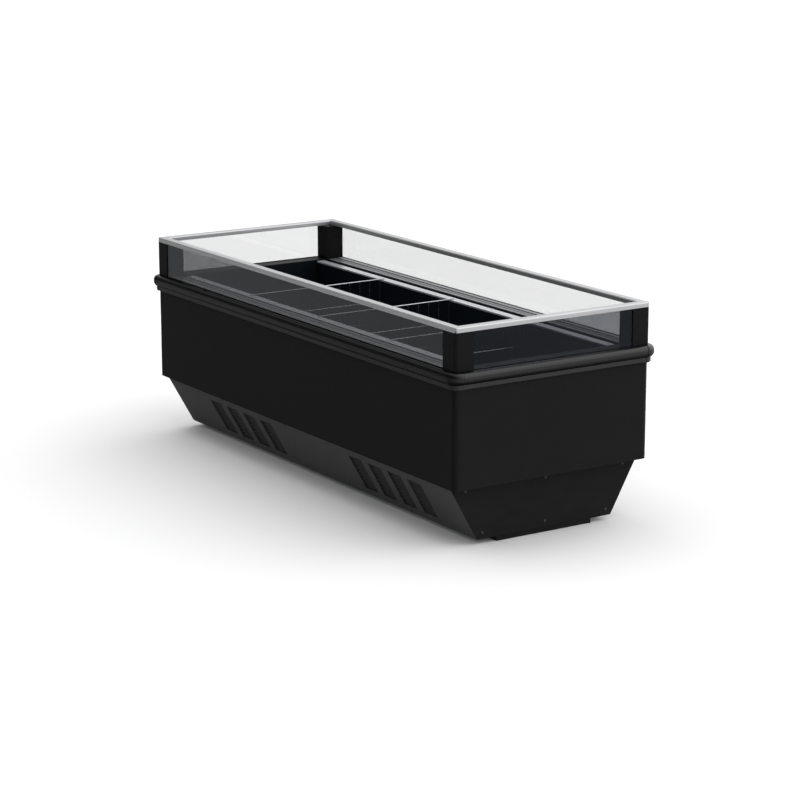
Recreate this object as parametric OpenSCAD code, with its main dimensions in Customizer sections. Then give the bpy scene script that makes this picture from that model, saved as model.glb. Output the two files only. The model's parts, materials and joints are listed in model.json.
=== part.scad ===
// Open-top island freezer with a glass surround, built in right side up, floor at z = 0.
// X runs along the length, -Y is the front long side, +Z is up.

/* [Cabinet] */
// Length of the cabinet over its end panels
body_l = 2500; // [2300:10:2700]
// Width of the cabinet over its long panels
body_w = 980; // [940:5:1020]
// Height from the floor to the top of the glass surround
total_h = 925; // [905:5:960]
// Outside radius of the upright cabinet corners
corner_r = 26; // [20:1:32]
// Sheet thickness of the cabinet panels
skin_t = 2; // [1:0.5:3]

/* [Base] */
// Height at which the base ends and the cabinet panels begin
base_h = 257; // [245:1:270]
// How far the base stands back at each end
base_inset_x = 53; // [45:1:60]
// How far the sloping panels' top edge stands back on the long sides
base_inset_y = 15; // [10:1:20]
// How far the sloping panels run inward on their way down
slope_run = 134; // [110:1:150]
// Height of the plinth under the base
plinth_h = 22; // [18:1:26]
// Half of the plinth's width
plinth_half_w = 241; // [200:1:260]

/* [Louvres] */
// Width of one louvre slot
slot_w = 100; // [80:1:110]
// Length of one louvre slot down the slope
slot_len = 181; // [150:1:190]
// Distance between neighbouring slots
slot_pitch = 152; // [140:1:160]
// Distance from the slope's top edge to the slots
slot_top = 50; // [40:1:60]

/* [Top] */
// Height of the bumper's lower edge
bumper_z = 674; // [670:1:690]
// Height of the rim that the posts and the glass stand on
rim_z = 745; // [740:1:750]
// How far the bumper stands proud of the cabinet
bumper_proud = 28; // [20:1:30]
// Width of a corner post
post_w = 90; // [80:1:95]
// Width of the top rail
rail_w = 42; // [38:1:60]
// Height of the top rail
rail_h = 20; // [18:1:24]
// Outside radius of the surround's corners, on the rail and the posts
surround_r = 16; // [8:1:18]
// Thickness of the glass
glass_t = 6; // [5:1:8]

/* [Well] */
// Half of the tub's inside width
tub_half_w = 405; // [400:1:408]
// Half of the tub's inside length
tub_half_l = 1167; // [1160:1:1168]
// Height of the tub's floor
tub_floor = 320; // [315:1:325]
// Half of the clear width between the duct panels
well_half_w = 345; // [335:1:350]
// Height of the tray deck
deck_z = 428; // [425:1:432]
// Distance from the middle to each outer divider
divider_x = 580; // [500:10:620]

/* [Hidden] */
$fn = 48;
cut = 1; // overshoot of a cutting shape past the face it cuts
joint = 0.2; // open joint between pieces that are separate on the real object

black = [0.08, 0.08, 0.09];
dark = [0.14, 0.14, 0.15];
navy = [0.05, 0.08, 0.12];
silver = [0.78, 0.79, 0.81];
grey = [0.55, 0.56, 0.58];
zinc = [0.62, 0.64, 0.66];
copper = [0.72, 0.42, 0.26];

half_l = body_l / 2;
half_w = body_w / 2;
corner_x = half_l - corner_r; // centre of an upright corner
corner_y = half_w - corner_r;
base_x = half_l - base_inset_x; // outer face of a base end plate
slope_y = half_w - base_inset_y; // top edge of a sloping panel
slope_drop = base_h - plinth_h;
slope_len = sqrt(slope_run * slope_run + slope_drop * slope_drop);
slope_deg = atan2(slope_drop, slope_run);
end_t = 3; // thickness of a base end plate
pan_t = 3; // thickness of the chassis pan
pan_top = plinth_h + pan_t;

panel_top = 690; // top of the cabinet panels, behind the bumper
bumper_h = rim_z - bumper_z;
bumper_r = 22; // rounding of the bumper's outer edges
bead_foot = 21; // height of the flat band under the bumper's round bead
band_out = 14; // how far the flat band stands proud of the cabinet
cap_extra = 1.2; // how much a corner cap is larger than the bumper all round
cap_gap = 2; // joint between a bumper and its corner cap

rim_w = 35; // width of a long rim
rim_top_t = 15; // thickness of the rims' top, under the glass slot
rim_wall = 4;
rim_end_x = tub_half_l + skin_t; // inner face of an end rim
glass_out = 5; // how far the glass stands back from the cabinet faces
glass_bottom = rim_z - 10;
rail_z = total_h - rail_h;
rail_bite = 7; // how far the glass reaches into the rail
gasket_t = 1.2;
gasket_rise = 1.5;
post_in = 1; // how far the posts and the rail stand back from the cabinet faces
post_x = half_l - post_in - post_w; // inner faces of the posts
post_y = half_w - post_in - post_w;

trim_t = 2;
trim_top = 740; // top of the bright duct trims
trim_out = 385; // outer edge of the duct trims
ledge_in = tub_half_w + 4; // inner edge of the grey ledges
grille_z = 715;
grille_t = 6;
grille_in = trim_out + 1;
grille_out = tub_half_w - 1;
tray_count = 4;
tray_t = 2;

unit_x = [-550, 665]; // middles of the two condensing units and louvre groups
unit_z = 132; // height of the condenser fans' axes
cond_y = -325; // front face of the condensers
cond_t = 55;
cond_l = 400;
cond_h = 180;
hood_t = 26;
fan_r = 80;
fan_hole_r = 84;
hub_r = 26;
fan_h = 16;
shaft_r = 4;
shaft_gap = 0.05;
motor_r = 32;
motor_l = 44;
cond_fan_y = cond_y + cond_t + hood_t - fan_h + 4;
evap_fan_x = [700, 1000];
plenum_z = 405; // underside of the fan plate under the deck
evap_fan_z = plenum_z - 8;

ctl_x = -base_x; // face that the controller sits on
ctl_t = 12;
ctl_y = 150;
ctl_z = 145;
ctl_w = 180;
ctl_h = 70;
button_r = 6;
button_gap = 0.1;
button_l = 8;
button_z = ctl_z - 15;
button_y = [100, 122, 144];
rocker_y = ctl_y + 60;
rocker_pivot_x = ctl_x - 7.5;
rocker_tilt = 8;
pin_r = 1.5;

wire_r = 2.5;
divider_z = deck_z + tray_t + 6;

// ---------- helpers ----------
module mirror_x() {
  children();
  mirror([1, 0, 0]) children();
}
module mirror_y() {
  children();
  mirror([0, 1, 0]) children();
}
module box(x, y, z) {
  translate([x[0], y[0], z[0]]) cube([x[1] - x[0], y[1] - y[0], z[1] - z[0]]);
}
module along_x(x0, x1) {
  // a profile drawn in Y and Z, run along X
  translate([x0, 0, 0]) rotate([90, 0, 90]) linear_extrude(x1 - x0) children();
}
module on_slope() {
  // X along the length, Y down the front slope, Z into the cabinet
  translate([0, -slope_y, base_h]) rotate([-slope_deg, 0, 0]) children();
}

// ---------- base ----------
module plinth_pan() {
  color(black) difference() {
    box([-base_x + 5, base_x - 5], [-plinth_half_w, plinth_half_w], [0, plinth_h]);
    box([-base_x + 7, base_x - 7], [-plinth_half_w + 2, plinth_half_w - 2], [2, plinth_h + cut]);
  }
}
module chassis_pan() {
  pan_y = slope_y - slope_run - 4;
  color(zinc) box([-base_x + end_t, base_x - end_t], [-pan_y, pan_y], [plinth_h, pan_top]);
}
module base_panel_sheet() {
  // the top edge is cut level, so that it meets the cabinet's underside
  color(dark) intersection() {
    on_slope() difference() {
      box([-base_x + end_t, base_x - end_t], [0, slope_len], [0, skin_t]);
      for (gx = unit_x, i = [-1.5:1.5])
        translate([gx + i * slot_pitch - slot_w / 2, slot_top, -cut])
          cube([slot_w, slot_len, skin_t + 2 * cut]);
    }
    box([-base_x, base_x], [-half_w, 0], [0, base_h]);
  }
}
module front_base_panel() base_panel_sheet();
module rear_base_panel() mirror([0, 1, 0]) base_panel_sheet();
module base_end_sheet() {
  foot_y = slope_y - slope_run;
  color(dark) translate([base_x - end_t, 0, 0]) rotate([90, 0, 90]) linear_extrude(end_t)
    polygon([[-foot_y, plinth_h], [foot_y, plinth_h], [slope_y, base_h], [-slope_y, base_h]]);
}
module right_base_end() base_end_sheet();
module left_base_end() mirror([1, 0, 0]) base_end_sheet();

module louvre_insert() {
  // one moulded insert behind four slots: a frame with sloping blades across each slot
  edge = 12;
  frame_w = 3 * slot_pitch + slot_w + 2 * edge;
  blade_pitch = 20;
  difference() {
    translate([-frame_w / 2, slot_top - edge, skin_t]) cube([frame_w, slot_len + 2 * edge, 18]);
    for (i = [-1.5:1.5])
      translate([i * slot_pitch - slot_w / 2, slot_top, skin_t - cut])
        cube([slot_w, slot_len, 18 + 2 * cut]);
  }
  for (i = [-1.5:1.5], v = [slot_top + 8:blade_pitch:slot_top + slot_len - 8])
    translate([i * slot_pitch - slot_w / 2 - 1, v, skin_t + 9])
      rotate([38, 0, 0]) translate([0, -1, -9]) cube([slot_w + 2, 2, 18]);
}
module louvre_inserts() {
  color(black) mirror_y() for (gx = unit_x) on_slope() translate([gx, 0, 0]) louvre_insert();
}
module machine_frame() {
  color(zinc) for (x = [-1150, -120, 240, 1150]) {
    mirror_y() box([x - 15, x + 15], [285, 315], [pan_top, base_h - 25 - joint]);
    box([x - 20, x + 20], [-440, 440], [base_h - 25, base_h]);
  }
}
module screw_head() {
  // low pan head with a cross recess, standing up from z = 0
  difference() {
    cylinder(r1 = 6, r2 = 4.5, h = 2.4);
    for (a = [0, 90]) rotate([0, 0, a]) translate([-3, -0.6, 1.4]) cube([6, 1.2, 2]);
  }
}
module panel_screws() {
  color(zinc) {
    mirror_x() for (p = [[-400, 235], [400, 235], [-315, 50], [315, 50], [0, 235], [0, 50]])
      translate([base_x, p[0], p[1]]) rotate([0, 90, 0]) screw_head();
    mirror_y() for (x = [-1150, -700, -120, 240, 1150], v = [20, slope_len - 18])
      on_slope() translate([x, v, 0]) rotate([180, 0, 0]) screw_head();
  }
}

// ---------- cabinet ----------
module long_body_panel() {
  color(black) {
    box([-corner_x, corner_x], [-half_w, -half_w + skin_t], [base_h, panel_top]);
    box([-corner_x, corner_x], [-half_w + skin_t, -half_w + 22], [base_h, base_h + skin_t]);
  }
}
module front_body_panel() long_body_panel();
module rear_body_panel() mirror([0, 1, 0]) long_body_panel();
module end_body_panel() {
  color(black) {
    box([half_l - skin_t, half_l], [-corner_y, corner_y], [base_h, panel_top]);
    box([base_x - 8, half_l - skin_t], [-corner_y, corner_y], [base_h, base_h + skin_t]);
  }
}
module right_end_panel() end_body_panel();
module left_end_panel() mirror([1, 0, 0]) end_body_panel();
module corner_columns() {
  color(black) mirror_x() mirror_y() translate([corner_x, corner_y, base_h]) difference() {
    intersection() {
      cylinder(r = corner_r, h = panel_top - base_h, $fn = 96);
      cube([corner_r, corner_r, panel_top - base_h]);
    }
    translate([-cut, -cut, skin_t]) intersection() {
      cylinder(r = corner_r - skin_t + cut, h = panel_top, $fn = 96);
      cube([corner_r, corner_r, panel_top]);
    }
  }
}
module foam_insulation() {
  foam_x = half_l - skin_t;
  foam_y = half_w - skin_t;
  low = base_h + skin_t;
  color([0.93, 0.87, 0.66]) difference() {
    union() {
      box([-corner_x, corner_x], [-foam_y, foam_y], [low, panel_top]);
      box([-foam_x, foam_x], [-corner_y, corner_y], [low, panel_top]);
      box([-rim_end_x, rim_end_x], [-half_w + rim_w, half_w - rim_w], [panel_top, rim_z - 21]);
    }
    box([-rim_end_x, rim_end_x], [-tub_half_w - skin_t, tub_half_w + skin_t],
        [tub_floor - skin_t, total_h]);
  }
}
module inner_tub() {
  color(navy) difference() {
    box([-rim_end_x, rim_end_x], [-tub_half_w - skin_t, tub_half_w + skin_t],
        [tub_floor - skin_t, rim_z - 5]);
    box([-tub_half_l, tub_half_l], [-tub_half_w, tub_half_w], [tub_floor, rim_z + cut]);
  }
}

// ---------- rim, bumper and glass surround ----------
module top_rims() {
  slot = glass_t + 2 * gasket_t;
  slot_mid_y = half_w - glass_out - glass_t / 2;
  slot_mid_x = half_l - glass_out - glass_t / 2;
  color(black) {
    mirror_y() difference() {
      box([-rim_end_x + joint, rim_end_x - joint], [half_w - rim_w, half_w], [panel_top, rim_z]);
      box([-rim_end_x - cut, rim_end_x + cut], [half_w - rim_w + rim_wall, half_w - rim_wall],
          [panel_top - cut, rim_z - rim_top_t]);
      box([-rim_end_x - cut, rim_end_x + cut], [slot_mid_y - slot / 2, slot_mid_y + slot / 2],
          [glass_bottom - gasket_t, rim_z + cut]);
    }
    mirror_x() difference() {
      union() {
        box([rim_end_x, corner_x], [-half_w, half_w], [panel_top, rim_z]);
        box([rim_end_x, half_l], [-corner_y, corner_y], [panel_top, rim_z]);
        for (y = [-corner_y, corner_y])
          translate([corner_x, y, panel_top]) cylinder(r = corner_r, h = rim_z - panel_top, $fn = 96);
      }
      box([rim_end_x + rim_wall, half_l - rim_wall], [-corner_y, corner_y],
          [panel_top - cut, rim_z - rim_top_t]);
      box([slot_mid_x - slot / 2, slot_mid_x + slot / 2], [-post_y, post_y],
          [glass_bottom - gasket_t, rim_z + cut]);
    }
  }
}
module bumper_section(grow) {
  // a round bead over a flat band, with X outward from the cabinet face and Y up from the foot
  w = bumper_proud + grow;
  low = bead_foot - grow;
  high = bumper_h + grow;
  band = band_out + grow;
  soft = 3;
  polygon([[0, -grow], [band - soft, -grow], [band, soft - grow], [band, bead_foot], [0, bead_foot]]);
  translate([0, low]) square([w - bumper_r, high - low]);
  translate([w - bumper_r, low + bumper_r]) square([bumper_r, high - low - 2 * bumper_r]);
  for (y = [low + bumper_r, high - bumper_r])
    translate([w - bumper_r, y]) circle(bumper_r, $fn = 64);
}
module long_bumper() {
  run = corner_x - cap_gap;
  color(dark) translate([-run, -half_w, bumper_z]) rotate([90, 0, 90]) mirror([1, 0, 0])
    linear_extrude(2 * run) bumper_clip() bumper_section(0);
}
module end_bumper() {
  run = corner_y - cap_gap;
  color(dark) translate([half_l, run, bumper_z]) rotate([90, 0, 0])
    linear_extrude(2 * run) bumper_clip() bumper_section(0);
}
module bumper_clip() {
  // keeps the section on the outer side of the cabinet face
  intersection() {
    children();
    translate([0, -10]) square([bumper_proud + 10, bumper_h + 20]);
  }
}
module front_bumper() long_bumper();
module rear_bumper() mirror([0, 1, 0]) long_bumper();
module right_bumper() end_bumper();
module left_bumper() mirror([1, 0, 0]) end_bumper();
module bumper_corners() {
  clear = 0.3;
  color(dark) mirror_x() mirror_y() translate([corner_x, corner_y, bumper_z])
    rotate_extrude(angle = 90, $fn = 96) translate([corner_r + clear, 0]) intersection() {
      translate([-clear, 0]) bumper_section(cap_extra);
      translate([0, -10]) square([bumper_proud + 10, bumper_h + 10]);
    }
}
module post_section(w, r) {
  // square, with the corner away from the origin rounded
  square([w, w - r]);
  square([w - r, w]);
  translate([w - r, w - r]) circle(r, $fn = 64);
}
module glass_posts() {
  wall = 3;
  color(black) mirror_x() mirror_y() translate([post_x, post_y, rim_z]) difference() {
    linear_extrude(rail_z - rim_z) post_section(post_w, surround_r);
    translate([wall, wall, -cut]) linear_extrude(rail_z - rim_z - wall + cut)
      post_section(post_w - 2 * wall, surround_r - wall);
  }
}
module pane(half_len) {
  // one pane, standing on its slot, centred on X, with its inner face on y = 0
  translate([-half_len, 0, glass_bottom])
    cube([2 * half_len, glass_t, rail_z + rail_bite - glass_bottom]);
}
module long_pane() {
  color([0.8, 0.85, 0.9, 0.4]) translate([0, half_w - glass_out - glass_t, 0]) pane(post_x);
}
module end_pane() {
  color([0.8, 0.85, 0.9, 0.4]) rotate([0, 0, -90])
    translate([0, half_l - glass_out - glass_t, 0]) pane(post_y);
}
module rear_glass() long_pane();
module front_glass() mirror([0, 1, 0]) long_pane();
module right_glass() end_pane();
module left_glass() mirror([1, 0, 0]) end_pane();
module rail_bar(half_len, out) {
  // one mitred length of top rail along X, its outer face at y = out
  r = surround_r;
  slot = glass_t + 1;
  slot_y = out + post_in - glass_out - glass_t / 2;
  soft = 4;
  intersection() {
    difference() {
      along_x(-half_len, half_len) polygon([
        [out - rail_w, rail_z], [out, rail_z], [out, total_h - soft], [out - soft, total_h],
        [out - rail_w + soft, total_h], [out - rail_w, total_h - soft]
      ]);
      box([-half_len, half_len], [slot_y - slot / 2, slot_y + slot / 2],
          [rail_z - cut, rail_z + rail_bite + 1]);
    }
    translate([0, 0, rail_z - cut]) linear_extrude(rail_h + 2 * cut) intersection() {
      polygon([
        [-half_len, out], [half_len, out],
        [half_len - rail_w, out - rail_w], [-half_len + rail_w, out - rail_w]
      ]);
      union() {
        translate([-half_len + r, out - rail_w]) square([2 * (half_len - r), rail_w]);
        translate([-half_len, out - rail_w]) square([2 * half_len, rail_w - r]);
        for (x = [-half_len + r, half_len - r]) translate([x, out - r]) circle(r, $fn = 64);
      }
    }
  }
}
module long_rail() color(silver) rail_bar(half_l - post_in, half_w - post_in);
module end_rail() color(silver) rotate([0, 0, -90]) rail_bar(half_w - post_in, half_l - post_in);
module rear_top_rail() long_rail();
module front_top_rail() mirror([0, 1, 0]) long_rail();
module right_top_rail() end_rail();
module left_top_rail() mirror([1, 0, 0]) end_rail();
module gasket(half_len) {
  translate([0, -gasket_t, 0]) difference() {
    box([-half_len, half_len], [0, glass_t + 2 * gasket_t],
        [glass_bottom - gasket_t, rim_z + gasket_rise]);
    box([-half_len - cut, half_len + cut], [gasket_t, glass_t + gasket_t],
        [glass_bottom, rim_z + gasket_rise + cut]);
  }
}
module glass_gaskets() {
  color(black) {
    mirror_y() translate([0, half_w - glass_out - glass_t, 0]) gasket(post_x);
    mirror_x() rotate([0, 0, -90]) translate([0, half_l - glass_out - glass_t, 0]) gasket(post_y);
  }
}

// ---------- ledges, ducts and deck ----------
module ledge_trims() {
  // a grooved ledge over each long tub wall, and a flat bead along the foot of each long pane
  ledge_x = rim_end_x - joint;
  bead_x = post_x - 4;
  groove_y = ledge_in + 21;
  color(grey) mirror_y() {
    difference() {
      box([-ledge_x, ledge_x], [ledge_in, half_w - rim_w], [rim_z - 4, rim_z - 1]);
      box([-ledge_x - cut, ledge_x + cut], [groove_y, groove_y + 5], [rim_z - 2.5, rim_z]);
    }
    box([-ledge_x, ledge_x], [ledge_in, ledge_in + 2], [rim_z - 20, rim_z - 4]);
    box([-bead_x, bead_x],
        [half_w - rim_w + 2, half_w - glass_out - glass_t - gasket_t - joint], [rim_z, rim_z + 2]);
  }
}
module duct_panel_sheet() {
  // stands on the tub floor, with windows under the deck and an angle that carries the trays
  window = 200;
  color(navy) {
    difference() {
      box([-tub_half_l + 2, tub_half_l - 2], [-well_half_w - 2, -well_half_w],
          [tub_floor, trim_top - trim_t]);
      for (x = [-960:window + 40:960])
        box([x - window / 2, x + window / 2], [-well_half_w - 3, -well_half_w + cut],
            [tub_floor + 20, deck_z - 30]);
    }
    box([-tub_half_l + 2, tub_half_l - 2], [-well_half_w + joint, -well_half_w + 22],
        [deck_z - tray_t, deck_z]);
  }
}
module front_duct_panel() duct_panel_sheet();
module rear_duct_panel() mirror([0, 1, 0]) duct_panel_sheet();
module duct_top_trims() {
  color(silver) mirror_y() {
    box([-tub_half_l + 2, tub_half_l - 2], [well_half_w - 2, trim_out],
        [trim_top - trim_t, trim_top]);
    box([-tub_half_l + 2, tub_half_l - 2], [trim_out - 2, trim_out],
        [grille_z, trim_top - trim_t]);
    box([-tub_half_l + 2, tub_half_l - 2], [well_half_w - 2, well_half_w],
        [trim_top - 8, trim_top - trim_t]);
  }
}
module slotted_strip(pitch, open) {
  // lies in the air slot between the duct trim and the tub wall
  difference() {
    box([-tub_half_l + 2, tub_half_l - 2], [grille_in, grille_out],
        [grille_z, grille_z + grille_t]);
    for (x = [-tub_half_l + pitch:pitch:tub_half_l - pitch])
      box([x - open / 2, x + open / 2], [grille_in + 4, grille_out - 4],
          [grille_z - cut, grille_z + grille_t + cut]);
  }
}
module return_air_grille() color(black) mirror([0, 1, 0]) slotted_strip(36, 24);
module discharge_honeycomb() color(dark) slotted_strip(24, 18);
module deck_trays() {
  // four lift-out trays, each with rows of air slots and turned-up edges
  tray_l = (2 * tub_half_l - 8) / tray_count;
  half_y = well_half_w - 3;
  color(dark) for (i = [0:tray_count - 1])
    translate([-tub_half_l + 4 + i * tray_l + 1, 0, deck_z]) {
      difference() {
        box([0, tray_l - 2], [-half_y, half_y], [0, tray_t]);
        for (x = [70:110:tray_l - 60], y = [-225, -75, 75, 225])
          box([x - 4, x + 4], [y - 50, y + 50], [-cut, tray_t + cut]);
      }
    }
}
module finned_block(size, fins, depth) {
  // a block whose two long faces carry upright fins
  pitch = size[0] / fins;
  difference() {
    cube(size);
    for (i = [1:fins - 1], y = [-cut, size[1] - depth])
      translate([i * pitch - pitch / 4, y, 3]) cube([pitch / 2, depth + cut, size[2] - 6]);
  }
}
module evaporator_coil() {
  color(zinc) translate([-760, -300, tub_floor + 2]) finned_block([1240, 600, 92], 62, 20);
}
module fan_plenum() {
  x0 = 520;
  x1 = 1160;
  color(zinc) {
    difference() {
      box([x0, x1], [-328, 328], [plenum_z, plenum_z + 2]);
      for (x = evap_fan_x) translate([x, 0, plenum_z - cut]) cylinder(r = fan_hole_r, h = 2 + 2 * cut);
    }
    for (y = [-328, 326]) box([x0, x1], [y, y + 2], [tub_floor, plenum_z]);
    for (x = evap_fan_x) {
      box([x - 12, x + 12], [-110, 110], [evap_fan_z - motor_l - 3, evap_fan_z - motor_l]);
      for (y = [-110, 107])
        box([x - 12, x + 12], [y, y + 3], [evap_fan_z - motor_l, plenum_z]);
    }
  }
}
module fan_wheel() {
  // axial fan on the z axis: hub on z = 0, five pitched blades, and a shaft stub below it
  cylinder(r = hub_r, h = fan_h);
  translate([0, 0, -20]) cylinder(r = shaft_r, h = 20 + cut);
  for (a = [0:72:288]) rotate([0, 0, a]) translate([hub_r - 3, 0, fan_h / 2])
    rotate([32, 0, 0]) translate([0, -15, -1]) cube([fan_r - hub_r - 1, 30, 2]);
}
module fan_motor() {
  // motor hanging below z = 0, with a bearing bore for the fan's shaft
  difference() {
    translate([0, 0, -motor_l]) cylinder(r = motor_r, h = motor_l - 2);
    translate([0, 0, -24]) cylinder(r = shaft_r + shaft_gap, h = 24);
  }
}
module at_condenser_fan(x) {
  translate([x, cond_fan_y, unit_z]) rotate([-90, 0, 0]) mirror([0, 0, 1]) children();
}
module evaporator_fan(x) color(black) translate([x, 0, evap_fan_z]) fan_wheel();
module evaporator_fan_left() evaporator_fan(evap_fan_x[0]);
module evaporator_fan_right() evaporator_fan(evap_fan_x[1]);
module condenser_fan(x) color(black) at_condenser_fan(x) translate([0, 0, -fan_h]) fan_wheel();
module condenser_fan_left() condenser_fan(unit_x[0]);
module condenser_fan_right() condenser_fan(unit_x[1]);
module fan_motors() {
  color(dark) {
    for (x = evap_fan_x) translate([x, 0, evap_fan_z]) fan_motor();
    for (x = unit_x) at_condenser_fan(x) translate([0, 0, -fan_h]) fan_motor();
  }
}
module divider() {
  // welded wire divider that hooks over both duct trims
  half_y = well_half_w - 6;
  top = trim_top + wire_r + 0.4;
  reach = well_half_w + 15;
  color(zinc) {
    translate([0, -reach, top]) rotate([-90, 0, 0]) cylinder(r = wire_r, h = 2 * reach, $fn = 24);
    for (z = [divider_z, divider_z + 100, divider_z + 200])
      translate([wire_r * 1.4, -half_y, z]) rotate([-90, 0, 0])
        cylinder(r = wire_r, h = 2 * half_y, $fn = 24);
    for (i = [0:12])
      translate([0, -half_y + 6 + i * (half_y - 6) / 6, divider_z - 4])
        cylinder(r = wire_r, h = top - divider_z + 4, $fn = 24);
  }
}
module divider_left() translate([-divider_x, 0, 0]) divider();
module divider_centre() divider();
module divider_right() translate([divider_x, 0, 0]) divider();

// ---------- machine compartment ----------
module compressor() {
  // hermetic shell with rounded edges on a foot plate with four rubber grommets
  shell_r = 82;
  shell_h = 165;
  edge = 38;
  rotate_extrude($fn = 64) translate([0, 22]) {
    square([shell_r - edge, shell_h]);
    translate([0, edge]) square([shell_r, shell_h - 2 * edge]);
    for (y = [edge, shell_h - edge]) translate([shell_r - edge, y]) circle(edge);
  }
  translate([-115, -60, 16]) cube([230, 120, 8]);
  for (x = [-100, 100], y = [-45, 45]) translate([x, y, 0]) cylinder(r = 12, h = 16);
}
module compressors() {
  color(black) for (x = unit_x) translate([x, 60, pan_top]) compressor();
}
module condensers() {
  color(zinc) for (x = unit_x)
    translate([x - cond_l / 2, cond_y, unit_z - cond_h / 2])
      finned_block([cond_l, cond_t, cond_h], 40, 12);
}
module condenser_shrouds() {
  hood_y = cond_y + cond_t;
  color(zinc) for (x = unit_x) {
    difference() {
      box([x - cond_l / 2, x + cond_l / 2], [hood_y, hood_y + hood_t],
          [unit_z - cond_h / 2, unit_z + cond_h / 2]);
      box([x - cond_l / 2 + 2, x + cond_l / 2 - 2], [hood_y - cut, hood_y + hood_t - 2],
          [unit_z - cond_h / 2 + 2, unit_z + cond_h / 2 - 2]);
      translate([x, hood_y, unit_z]) rotate([-90, 0, 0]) cylinder(r = fan_hole_r, h = hood_t + cut);
    }
    for (s = [-110, 107])
      box([x + s, x + s + 3], [hood_y + hood_t, cond_fan_y + fan_h + motor_l],
          [unit_z - 12, unit_z + 12]);
    box([x - 110, x + 110], [cond_fan_y + fan_h + motor_l, cond_fan_y + fan_h + motor_l + 3],
        [unit_z - 12, unit_z + 12]);
  }
}
module pipe_bend(bend, r) {
  rotate_extrude(angle = 90) translate([bend, 0]) circle(r, $fn = 24);
}
module refrigerant_pipes() {
  // from each compressor's shell, along the floor pan, and up beside the condenser
  r = 5;
  bend = 24;
  leg = 150;
  color(copper) for (x = unit_x) translate([x + 82.2, 60, pan_top + 120]) {
    rotate([0, 90, 0]) cylinder(r = r, h = 60);
    translate([60, -bend, 0]) pipe_bend(bend, r);
    translate([60 + bend, -bend, 0]) rotate([90, 0, 0]) cylinder(r = r, h = leg);
    translate([60 + bend, -bend - leg, 0]) rotate([90, 0, 0]) cylinder(r = 14, h = 90);
  }
}
module condensate_tray() {
  color(zinc) difference() {
    box([-60, 180], [-200, 200], [pan_top, pan_top + 45]);
    box([-58, 178], [-198, 198], [pan_top + 2, pan_top + 45 + cut]);
  }
}
module cable_gland() {
  color(black) translate([-base_x, -180, 80]) rotate([0, -90, 0]) difference() {
    union() {
      cylinder(r = 18, h = 3);
      cylinder(r = 14, h = 12, $fn = 6);
      translate([0, 0, 12]) cylinder(r1 = 12, r2 = 9, h = 12);
    }
    translate([0, 0, 2]) cylinder(r = 5, h = 30);
  }
}

// ---------- controls ----------
module controller() {
  face = ctl_x - ctl_t;
  color(black) difference() {
    box([face, ctl_x], [ctl_y - ctl_w / 2, ctl_y + ctl_w / 2], [ctl_z - ctl_h / 2, ctl_z + ctl_h / 2]);
    box([face - cut, face + 1.5], [ctl_y - 70, ctl_y + 20], [ctl_z, ctl_z + 26]);
    for (y = button_y) translate([face - cut, y, button_z]) rotate([0, 90, 0])
      cylinder(r = button_r + button_gap, h = button_l + cut);
    box([face - cut, face + 10], [rocker_y - 10, rocker_y + 10], [ctl_z - 18, ctl_z + 18]);
    translate([rocker_pivot_x, rocker_y - 12.5, ctl_z]) rotate([-90, 0, 0])
      cylinder(r = pin_r + 0.06, h = 25);
  }
}
module press_button(y) {
  color(grey) translate([ctl_x - ctl_t - 2, y, button_z]) rotate([0, 90, 0])
    cylinder(r = button_r, h = button_l);
}
module set_button() press_button(button_y[0]);
module up_button() press_button(button_y[1]);
module down_button() press_button(button_y[2]);
module mains_switch() {
  color([0.1, 0.35, 0.16]) translate([rocker_pivot_x, rocker_y, ctl_z]) rotate([0, -rocker_tilt, 0]) {
    box([-5.5, 2], [-9.5, 9.5], [-15.5, 15.5]);
    translate([0, -12, 0]) rotate([-90, 0, 0]) cylinder(r = pin_r, h = 24);
  }
}

plinth_pan();
chassis_pan();
front_base_panel();
rear_base_panel();
left_base_end();
right_base_end();
louvre_inserts();
machine_frame();
panel_screws();
front_body_panel();
rear_body_panel();
left_end_panel();
right_end_panel();
corner_columns();
foam_insulation();
inner_tub();
top_rims();
front_bumper();
rear_bumper();
left_bumper();
right_bumper();
bumper_corners();
glass_posts();
front_glass();
rear_glass();
left_glass();
right_glass();
front_top_rail();
rear_top_rail();
left_top_rail();
right_top_rail();
glass_gaskets();
ledge_trims();
front_duct_panel();
rear_duct_panel();
duct_top_trims();
return_air_grille();
discharge_honeycomb();
deck_trays();
evaporator_coil();
fan_plenum();
evaporator_fan_left();
evaporator_fan_right();
fan_motors();
divider_left();
divider_centre();
divider_right();
compressors();
condensers();
condenser_fan_left();
condenser_fan_right();
condenser_shrouds();
refrigerant_pipes();
condensate_tray();
cable_gland();
controller();
set_button();
up_button();
down_button();
mains_switch();
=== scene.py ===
import json
import math

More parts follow.
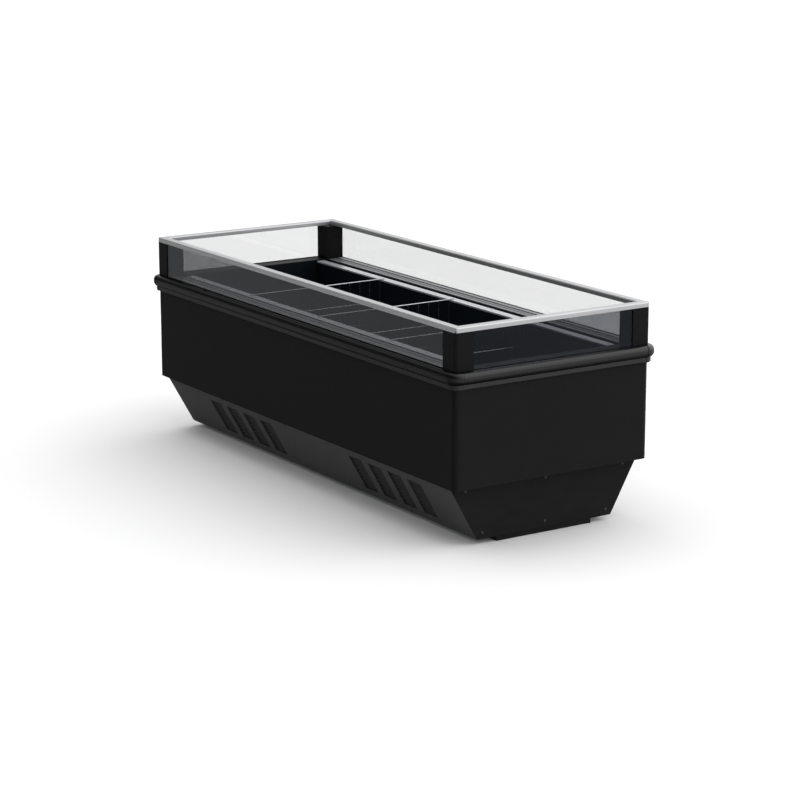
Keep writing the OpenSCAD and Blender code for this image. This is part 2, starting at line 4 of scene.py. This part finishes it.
import bmesh
import bpy
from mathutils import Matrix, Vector

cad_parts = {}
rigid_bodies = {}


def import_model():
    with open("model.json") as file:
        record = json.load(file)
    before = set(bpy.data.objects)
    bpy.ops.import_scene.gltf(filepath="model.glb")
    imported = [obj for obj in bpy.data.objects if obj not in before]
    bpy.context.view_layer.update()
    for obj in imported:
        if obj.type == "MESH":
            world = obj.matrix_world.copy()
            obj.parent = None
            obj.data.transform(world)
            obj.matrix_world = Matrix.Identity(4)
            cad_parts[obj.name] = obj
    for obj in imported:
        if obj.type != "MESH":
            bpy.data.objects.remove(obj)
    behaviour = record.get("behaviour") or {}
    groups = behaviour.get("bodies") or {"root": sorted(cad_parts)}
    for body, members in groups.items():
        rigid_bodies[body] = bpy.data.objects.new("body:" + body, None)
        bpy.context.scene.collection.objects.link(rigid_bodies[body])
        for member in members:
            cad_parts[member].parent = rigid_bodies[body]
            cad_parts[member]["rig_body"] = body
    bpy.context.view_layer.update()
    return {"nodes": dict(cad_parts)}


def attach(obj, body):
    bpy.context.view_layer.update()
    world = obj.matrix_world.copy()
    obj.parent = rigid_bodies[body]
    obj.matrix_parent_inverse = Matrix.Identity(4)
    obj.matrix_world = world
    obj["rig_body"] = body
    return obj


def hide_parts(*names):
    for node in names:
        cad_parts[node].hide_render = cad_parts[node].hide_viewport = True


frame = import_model()
cadNodes = frame["nodes"]
print("frame loaded:", len(cadNodes), "nodes")

cameraView = {
    "azimuth": 56.8,  # degrees round from the front long side
    "elevation": 13.6,
    "distance": 11.165,  # metres from the aim point
    "aim": (0.1039, 0.0, 0.3404),
    "lens": 112.7,
}


def placeCamera(view):
    turn, rise = math.radians(view["azimuth"]), math.radians(view["elevation"])
    back = Vector((math.sin(turn) * math.cos(rise), -math.cos(turn) * math.cos(rise), math.sin(rise)))
    camera = bpy.data.objects.new("camera", bpy.data.cameras.new("camera"))
    camera.data.lens = view["lens"]
    camera.data.sensor_width = 36.0
    camera.data.clip_end = 400.0
    camera.location = Vector(view["aim"]) + back * view["distance"]
    camera.rotation_euler = (-back).to_track_quat("-Z", "Y").to_euler()
    bpy.context.scene.collection.objects.link(camera)
    bpy.context.scene.camera = camera


placeCamera(cameraView)


class Wire:  # one socket of a node tree; sums and products of wires add Math nodes
    def __init__(self, tree, socket=None):
        self.tree = tree
        self.socket = socket

    def add(self, kind, settings=None, inputs=None, out=0):
        node = self.tree.nodes.new("ShaderNode" + kind)
        for name, value in (settings or {}).items():
            setattr(node, name, value)
        for name, value in (inputs or {}).items():
            if isinstance(value, Wire):
                self.tree.links.new(value.socket, node.inputs[name])
            else:
                node.inputs[name].default_value = value
        return Wire(self.tree, node.outputs[out] if len(node.outputs) else None)

    def calc(self, operation, first, second=0.0):
        return self.add("Math", {"operation": operation}, {0: first, 1: second})

    def __add__(self, other):
        return self.calc("ADD", self, other)

    def __radd__(self, other):
        return self.calc("ADD", other, self)

    def __sub__(self, other):
        return self.calc("SUBTRACT", self, other)

    def __rsub__(self, other):
        return self.calc("SUBTRACT", other, self)

    def __mul__(self, other):
        return self.calc("MULTIPLY", self, other)

    def __rmul__(self, other):
        return self.calc("MULTIPLY", other, self)


def startMaterial(name):
    material = bpy.data.materials.new(name)
    material.use_nodes = True
    material.node_tree.nodes.clear()
    return material, Wire(material.node_tree)


def place(wire):  # the piece's own coordinates, in metres, which travel with it
    return wire.add("TexCoord", out="Object")


def along(wire, axis):
    return wire.add("SeparateXYZ", inputs={0: place(wire)}, out=axis)


def noise(wire, scale, stretch=(1, 1, 1), detail=3.0, rough=0.55):  # 0 to 1, scale per metre
    spot = wire.add("VectorMath", {"operation": "MULTIPLY"}, {0: place(wire), 1: stretch})
    return wire.add("TexNoise", inputs={"Vector": spot, "Scale": scale, "Detail": detail, "Roughness": rough})


def remap(wire, value, low, high, toLow=0.0, toHigh=1.0):
    return wire.add("MapRange", inputs={0: value, 1: low, 2: high, 3: toLow, 4: toHigh})


def mixColour(wire, share, first, second):
    return wire.add("Mix", {"data_type": "RGBA"}, {0: share, 6: rgba(first), 7: rgba(second)}, out=2)


def rgba(colour):
    return colour if isinstance(colour, Wire) else (*colour[:3], 1.0)


def bump(wire, height, depth, strength):
    return wire.add("Bump", inputs={"Height": height, "Distance": depth, "Strength": strength})


def surface(wire, inputs):
    shader = wire.add("BsdfPrincipled", inputs=inputs)
    wire.add("OutputMaterial", inputs={"Surface": shader})


def shaded(colour, share):
    return [c * share for c in colour]


def powderCoat(name, look):  # baked powder on steel: fine orange peel, faint cloudy sheen, dust low down
    material, wire = startMaterial(name)
    cloud = noise(wire, 2.2, detail=4.0)
    grain = noise(wire, look["grain"], detail=2.0)
    speck = remap(wire, noise(wire, 900.0, detail=1.0), 0.62, 0.8)
    base = mixColour(wire, cloud, look["colour"], shaded(look["colour"], 1 + look["variation"]))
    base = mixColour(wire, speck * 0.35, base, look["fleck"])
    low = remap(wire, along(wire, "Z"), look["dustTop"], 0.02)
    dust = low * remap(wire, noise(wire, 9.0, (1, 1, 3)), 0.35, 0.8)
    base = mixColour(wire, dust * look["dust"], base, look["dustColour"])
    rough = look["rough"] + (cloud - 0.5) * 0.14 + dust * 0.15 + (noise(wire, 35.0) - 0.5) * 0.06
    surface(wire, {
        "Base Color": base, "Roughness": rough, "Specular IOR Level": look["specular"],
        "Normal": bump(wire, grain, look["grainDepth"], 0.6),
    })
    return material


def mouldedPlastic(name, look):  # satin plastic: moulded grain, rubbed patches that shine a little more
    material, wire = startMaterial(name)
    rub = remap(wire, noise(wire, look["rubScale"], look["rubStretch"], detail=5.0), 0.52, 0.72)
    grain = noise(wire, look["grain"], detail=2.0)
    base = mixColour(wire, rub * look["rub"], look["colour"], look["rubColour"])
    base = mixColour(wire, noise(wire, 3.0) * 0.35, base, shaded(look["colour"], 0.7))
    if "foot" in look:  # paler below a height, where the section turns from bead to band: painted light standing in for the floor's glow on the band
        base = mixColour(wire, remap(wire, along(wire, "Z"), *look["foot"]), base, look["footColour"])
    rough = look["rough"] - rub * 0.1 + (noise(wire, 60.0) - 0.5) * 0.08
    surface(wire, {
        "Base Color": base, "Roughness": rough, "Specular IOR Level": look["specular"],
        "Normal": bump(wire, grain, look["grainDepth"], 0.5),
    })
    return material


def brushedMetal(name, look, axis="X"):  # fine drawn lines along one axis, with handling marks
    material, wire = startMaterial(name)
    stretch = {"X": (0.02, 1, 1), "Y": (1, 0.02, 1), "Z": (1, 1, 0.02)}[axis]
    lines = noise(wire, 1400.0, stretch, detail=2.0)
    broad = noise(wire, 260.0, stretch, detail=3.0)
    touch = remap(wire, noise(wire, 7.0, detail=4.0), 0.5, 0.75)
    base = mixColour(wire, broad, look["colour"], shaded(look["colour"], look["dark"]))
    base = mixColour(wire, touch * 0.25, base, shaded(look["colour"], 0.8))
    if "grooveShade" in look:  # painted shade in the grooves, below a height
        base = mixColour(wire, remap(wire, along(wire, "Z"), *look["grooveShade"]), base, look["grooveShadeColour"])
    rough = look["rough"] + (broad - 0.5) * 0.12 + touch * 0.08
    surface(wire, {
        "Base Color": base, "Roughness": rough, "Metallic": look["metal"],
        "Normal": bump(wire, lines, 0.00012, 0.35),
    })
    return material


def zincSheet(name, look):  # hot-dip spangle on bare steel
    material, wire = startMaterial(name)
    cells = wire.add("TexVoronoi", inputs={"Vector": place(wire), "Scale": look["spangle"]}, out="Color")
    shade = wire.add("SeparateColor", inputs={0: cells})
    base = mixColour(wire, shade, look["colour"], shaded(look["colour"], look["dark"]))
    stain = remap(wire, noise(wire, 6.0, detail=5.0), 0.5, 0.75)
    base = mixColour(wire, stain * 0.4, base, shaded(look["colour"], 0.55))
    rough = look["rough"] + shade * 0.18 + stain * 0.1
    surface(wire, {"Base Color": base, "Roughness": rough, "Metallic": 0.85,
                   "Normal": bump(wire, noise(wire, 300.0), 0.0001, 0.3)})
    return material


def paneGlass(name, look):  # clear pane: tinted pass-through under a thin gloss, with faint wiping smears
    material, wire = startMaterial(name)
    smear = remap(wire, noise(wire, 5.0, (1, 1, 3), detail=6.0), 0.45, 0.8)
    through = wire.add("BsdfTransparent", inputs={"Color": rgba(look["tint"])})
    gloss = wire.add("BsdfGlossy", inputs={"Color": rgba(look["sheen"]), "Roughness": 0.02 + smear * 0.12})
    facing = wire.add("LayerWeight", inputs={"Blend": 0.5}, out="Facing")
    share = look["face"] + (1 - look["face"]) * facing.calc("POWER", facing, look["rise"])
    both = wire.add("MixShader", inputs={0: share + smear * look["smear"], 1: through, 2: gloss})
    wire.add("OutputMaterial", inputs={"Surface": both})
    return material


def softRubber(name, look):  # matt rubber or foam with chalky wear
    material, wire = startMaterial(name)
    chalk = remap(wire, noise(wire, 40.0, detail=5.0), 0.5, 0.8)
    base = mixColour(wire, chalk * 0.5, look["colour"], look["chalk"])
    surface(wire, {"Base Color": base, "Roughness": 0.72 + chalk * 0.15, "Specular IOR Level": 0.25,
                   "Normal": bump(wire, noise(wire, 700.0), 0.0001, 0.5)})
    return material


weldGap = 0.00002  # metres within which a mesh's corners join
flatAngle = 0.4  # degrees under which neighbouring facets become one
sharpAngle = 32  # degrees above which an edge is rounded


def softCopy(node, material, width, segments=2):  # a CAD piece with its edges rounded, in its place
    mesh = cadNodes[node].data.copy()
    work = bmesh.new()
    work.from_mesh(mesh)
    bmesh.ops.remove_doubles(work, verts=work.verts, dist=weldGap)
    bmesh.ops.dissolve_limit(work, angle_limit=math.radians(flatAngle), verts=work.verts, edges=work.edges)
    work.to_mesh(mesh)
    work.free()
    mesh.materials.clear()
    mesh.materials.append(material)
    piece = bpy.data.objects.new(node + ".soft", mesh)
    bpy.context.scene.collection.objects.link(piece)
    rounding = piece.modifiers.new("rounding", "BEVEL")
    rounding.width = width
    rounding.segments = segments
    rounding.limit_method = "ANGLE"
    rounding.angle_limit = math.radians(sharpAngle)
    rounding.use_clamp_overlap = True
    rounding.harden_normals = True
    mesh.shade_smooth()
    smoothing = piece.modifiers.new("smoothing", "WEIGHTED_NORMAL")
    smoothing.keep_sharp = True
    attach(piece, cadNodes[node]["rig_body"])
    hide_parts(node)


def softCopies(nodes, material, width, segments=2):
    for node in nodes:
        softCopy(node, material, width, segments)


def dress(nodes, material):  # a CAD piece whose shape is right keeps it and takes a finish
    for node in nodes:
        cadNodes[node].data.materials.clear()
        cadNodes[node].data.materials.append(material)


cabinetLook = {
    "colour": (0.0106, 0.0106, 0.0108), "variation": 0.25, "fleck": (0.02, 0.02, 0.021),
    "grain": 420.0, "grainDepth": 0.00012, "rough": 0.42, "specular": 0.035,
    "dust": 0.1, "dustTop": 0.42, "dustColour": (0.05, 0.048, 0.045),
    "panelEdge": 0.0012, "sheetEdge": 0.0008,  # rounding of the edges, in metres
}
cabinetBlack = powderCoat("cabinetBlack", cabinetLook)
bodyPanels = ["front_body_panel", "rear_body_panel", "left_end_panel", "right_end_panel"]
softCopies(bodyPanels, cabinetBlack, cabinetLook["panelEdge"])

columnLook = {**cabinetLook, "colour": (0.0045, 0.0045, 0.0046), "rough": 0.3, "specular": 0.14}
softCopies(["corner_columns"], powderCoat("columnBlack", columnLook), columnLook["sheetEdge"])
softCopies(["left_base_end", "right_base_end", "plinth_pan"], cabinetBlack, cabinetLook["sheetEdge"])

# The slopes' colour, well above the cabinet black, is painted light standing in for the floor's glow on these
# downward-facing panels; the screws share it.
baseLitLook = {
    "colour": (0.052, 0.052, 0.053), "variation": 0.25, "fleck": (0.085, 0.085, 0.087),
    "grain": 650.0, "grainDepth": 0.0003, "rough": 0.55, "specular": 0.1,
    "dust": 0.5, "dustTop": 0.2, "dustColour": (0.09, 0.088, 0.082), "edge": 0.0008,
}
baseLitBlack = powderCoat("baseLitBlack", baseLitLook)
softCopies(["front_base_panel", "rear_base_panel"], baseLitBlack, baseLitLook["edge"])
dress(["panel_screws"], baseLitBlack)

louvreLook = {
    "colour": (0.042, 0.042, 0.042), "rub": 0.3, "rubColour": (0.056, 0.055, 0.054), "rubScale": 25.0,
    "rubStretch": (1, 1, 1), "grain": 500.0, "grainDepth": 0.0002, "rough": 0.55, "specular": 0.25,
}
louvreBlack = mouldedPlastic("louvreBlack", louvreLook)
dress(["louvre_inserts", "return_air_grille", "discharge_honeycomb", "cable_gland"], louvreBlack)
dress(["evaporator_fan_left", "evaporator_fan_right"], louvreBlack)
dress(["condenser_fan_left", "condenser_fan_right"], louvreBlack)

rimLook = {
    "colour": (0.005, 0.005, 0.0055), "rub": 0.4, "rubColour": (0.012, 0.012, 0.013), "rubScale": 12.0,
    "rubStretch": (0.3, 0.3, 1), "grain": 500.0, "grainDepth": 0.0001, "rough": 0.42, "specular": 0.08,
    "edge": 0.0015,
}
softCopies(["top_rims"], mouldedPlastic("rimBlack", rimLook), rimLook["edge"])

bumperLook = {
    "colour": (0.003, 0.003, 0.0031), "rub": 0.4, "rubColour": (0.007, 0.007, 0.0073), "rubScale": 16.0,
    "rubStretch": (0.25, 0.25, 2.5), "grain": 380.0, "grainDepth": 0.00012, "rough": 0.3,
    "specular": 0.45, "edge": 0.0015,
    "foot": (0.6955, 0.694), "footColour": (0.0085, 0.0085, 0.0087),  # heights where bead turns to band; the paler band colour below is painted light
}
bumperBlack = mouldedPlastic("bumperBlack", bumperLook)
softCopies(["front_bumper", "rear_bumper", "left_bumper", "right_bumper"], bumperBlack, bumperLook["edge"])
softCopies(["bumper_corners"], bumperBlack, bumperLook["edge"])

postLook = {
    "colour": (0.008, 0.008, 0.0082), "rub": 0.3, "rubColour": (0.01, 0.01, 0.01), "rubScale": 10.0,
    "rubStretch": (1, 1, 0.4), "grain": 500.0, "grainDepth": 0.0001, "rough": 0.36, "specular": 0.06,
    "edge": 0.0012,
}
softCopies(["glass_posts"], mouldedPlastic("postBlack", postLook), postLook["edge"])

railLook = {"colour": (0.55, 0.555, 0.565), "dark": 0.86, "rough": 0.34, "metal": 0.65, "edge": 0.0026}
for rails, axis, label in (
    (["front_top_rail", "rear_top_rail"], "X", "railLong"),
    (["left_top_rail", "right_top_rail"], "Y", "railEnd"),
):
    softCopies(rails, brushedMetal(label, railLook, axis), railLook["edge"], 3)

ledgeLook = {
    "colour": (0.46, 0.46, 0.48), "dark": 0.8, "rough": 0.36, "metal": 0.4, "edge": 0.0008,
    "grooveShade": (0.7449, 0.7425), "grooveShadeColour": (0.05, 0.052, 0.06),  # heights where the painted groove shade begins
}
softCopies(["ledge_trims"], brushedMetal("ledgeGrey", ledgeLook), ledgeLook["edge"])

trimLook = {"colour": (0.84, 0.85, 0.88), "dark": 0.88, "rough": 0.3, "metal": 0.6, "edge": 0.0009}
softCopies(["duct_top_trims"], brushedMetal("trimSteel", trimLook), trimLook["edge"])
print("cabinet, rims and rails dressed")

linerLook = {
    "colour": (0.006, 0.009, 0.012), "variation": 0.3, "fleck": (0.010, 0.014, 0.018),
    "grain": 300.0, "grainDepth": 0.0001, "rough": 0.34, "specular": 0.12,
    "dust": 0.0, "dustTop": 0.3, "dustColour": (0.05, 0.05, 0.05),
}
linerDark = powderCoat("linerDark", linerLook)
dress(["inner_tub", "front_duct_panel", "rear_duct_panel", "deck_trays"], linerDark)

gasketLook = {"colour": (0.006, 0.006, 0.006), "chalk": (0.02, 0.02, 0.02)}
dress(["glass_gaskets"], softRubber("gasketBlack", gasketLook))

foamLook = {"colour": (0.62, 0.50, 0.24), "chalk": (0.75, 0.65, 0.4)}
dress(["foam_insulation"], softRubber("foam", foamLook))

wireLook = {"colour": (0.55, 0.56, 0.58), "dark": 0.85, "rough": 0.22, "metal": 1.0}
dress(["divider_left", "divider_centre", "divider_right"], brushedMetal("wirePlate", wireLook, "Z"))
print("well dressed")

zincLook = {"colour": (0.50, 0.52, 0.54), "dark": 0.72, "rough": 0.35, "spangle": 60.0}
zinc = zincSheet("zinc", zincLook)
dress(["chassis_pan", "machine_frame", "fan_plenum", "condenser_shrouds", "condensate_tray"], zinc)

finLook = {"colour": (0.62, 0.63, 0.65), "dark": 0.8, "rough": 0.4, "metal": 0.95}
dress(["evaporator_coil", "condensers"], brushedMetal("finMetal", finLook, "Z"))

copperLook = {"colour": (0.72, 0.36, 0.2), "dark": 0.8, "rough": 0.3, "metal": 1.0}
dress(["refrigerant_pipes"], brushedMetal("copperPipe", copperLook, "Y"))

shellLook = {
    "colour": (0.012, 0.012, 0.013), "rub": 0.5, "rubColour": (0.05, 0.045, 0.04), "rubScale": 14.0,
    "rubStretch": (1, 1, 0.5), "grain": 240.0, "grainDepth": 0.0002, "rough": 0.28, "specular": 0.5,
}
dress(["compressors"], mouldedPlastic("compressorShell", shellLook))

controllerLook = {
    "colour": (0.03, 0.031, 0.033), "rub": 0.4, "rubColour": (0.05, 0.05, 0.052), "rubScale": 60.0,
    "rubStretch": (1, 1, 1), "grain": 900.0, "grainDepth": 0.0001, "rough": 0.42, "specular": 0.4,
}
dress(["controller"], mouldedPlastic("controllerCase", controllerLook))
dress(["fan_motors"], mouldedPlastic("motorCase", controllerLook))

buttonLook = {"colour": (0.16, 0.165, 0.17), "chalk": (0.26, 0.26, 0.27)}
dress(["set_button", "up_button", "down_button"], softRubber("buttonGrey", buttonLook))

switchLook = {
    "colour": (0.01, 0.16, 0.03), "rub": 0.3, "rubColour": (0.04, 0.22, 0.06), "rubScale": 80.0,
    "rubStretch": (1, 1, 1), "grain": 900.0, "grainDepth": 0.00005, "rough": 0.25, "specular": 0.5,
}
dress(["mains_switch"], mouldedPlastic("switchGreen", switchLook))
print("machine parts and controls dressed")

# The front and end panes, nearest the camera, are darker-tinted, less glossy copies of the far panes' glass:
# painted shade greying what is seen through them.
frontGlassShaded = {
    "tint": (0.50, 0.505, 0.51), "sheen": (0.50, 0.52, 0.54), "face": 0.04, "rise": 2.2, "smear": 0.01,
}
endGlassShaded = {
    "tint": (0.45, 0.46, 0.475), "sheen": (0.34, 0.38, 0.44), "face": 0.03, "rise": 3.0, "smear": 0.01,
}
farGlass = {
    "tint": (0.88, 0.882, 0.882), "sheen": (0.7, 0.72, 0.75), "face": 0.035, "rise": 5.0, "smear": 0.008,
}
dress(["front_glass"], paneGlass("frontPaneShaded", frontGlassShaded))
dress(["right_glass"], paneGlass("endPaneShaded", endGlassShaded))
dress(["rear_glass", "left_glass"], paneGlass("farPane", farGlass))
print("glass dressed")


stageLook = {"floorSize": 160.0, "gap": 0.0005, "floorColour": (0.92, 0.92, 0.92)}


def makeFloor(look):
    half = look["floorSize"] / 2
    mesh = bpy.data.meshes.new("floor")
    corners = [(-half, -half, 0), (half, -half, 0), (half, half, 0), (-half, half, 0)]
    mesh.from_pydata(corners, [], [(0, 1, 2, 3)])
    floor = bpy.data.objects.new("floor", mesh)
    floor.location.z = -look["gap"]
    bpy.context.scene.collection.objects.link(floor)
    material, wire = startMaterial("floorWhite")
    surface(wire, {"Base Color": rgba(look["floorColour"]), "Roughness": 0.9, "Specular IOR Level": 0.0})
    mesh.materials.append(material)
    floor.visible_glossy = False  # the gloss on the cabinet shows the dome alone


makeFloor(stageLook)

skyLook = {
    "camera": 1.0,
    "above": {"brightWay": (0.25, 0.80, 0.55), "span": (-0.1, 0.9), "range": (0.06, 1.85)},
    "below": {"brightWay": (0.80, 0.55, 0.20), "span": (-0.6, 0.9), "range": (0.26, 0.85)},
    "deep": (-0.85, -0.3),  # heights between which the glow under the horizon comes up from dark
}


def makeSky(look):  # a soft white dome, brightest above the back, with a dim glow under the horizon
    world = bpy.data.worlds.new("sky")
    bpy.context.scene.world = world
    world.use_nodes = True
    world.node_tree.nodes.clear()
    wire = Wire(world.node_tree)
    direction = wire.add("TexCoord", out="Generated")

    def lobe(part):
        ways = {0: direction, 1: part["brightWay"]}
        facing = wire.add("VectorMath", {"operation": "DOT_PRODUCT"}, ways, out="Value")
        return remap(wire, facing, *part["span"], *part["range"])

    height = wire.add("SeparateXYZ", inputs={0: direction}, out="Z")
    over = remap(wire, height, -0.04, 0.06)
    deep = remap(wire, height, *look["deep"], 0.1, 1.0)
    strength = lobe(look["above"]) * over + lobe(look["below"]) * deep * (1 - over)
    seen = wire.add("LightPath", out="Is Camera Ray")
    strength = strength * (1 - seen) + look["camera"] * seen
    light = wire.add("Background", inputs={"Color": (1, 1, 1, 1), "Strength": strength})
    wire.add("OutputWorld", inputs={"Surface": light})


makeSky(skyLook)


sunLook = {"from": (-0.75, -0.45, 1.0), "spread": 70.0, "strength": 1.15}  # spread in degrees


def makeSun(look):  # a broad soft light from the front left, left out of the gloss
    lamp = bpy.data.lights.new("softSun", "SUN")
    lamp.energy = look["strength"]
    lamp.angle = math.radians(look["spread"])
    light = bpy.data.objects.new("softSun", lamp)
    light.rotation_euler = Vector(look["from"]).to_track_quat("Z", "Y").to_euler()
    light.visible_glossy = False
    bpy.context.scene.collection.objects.link(light)


makeSun(sunLook)

bpy.context.scene.view_settings.view_transform = "Standard"
bpy.context.scene.view_settings.look = "None"
print("stage and light made")
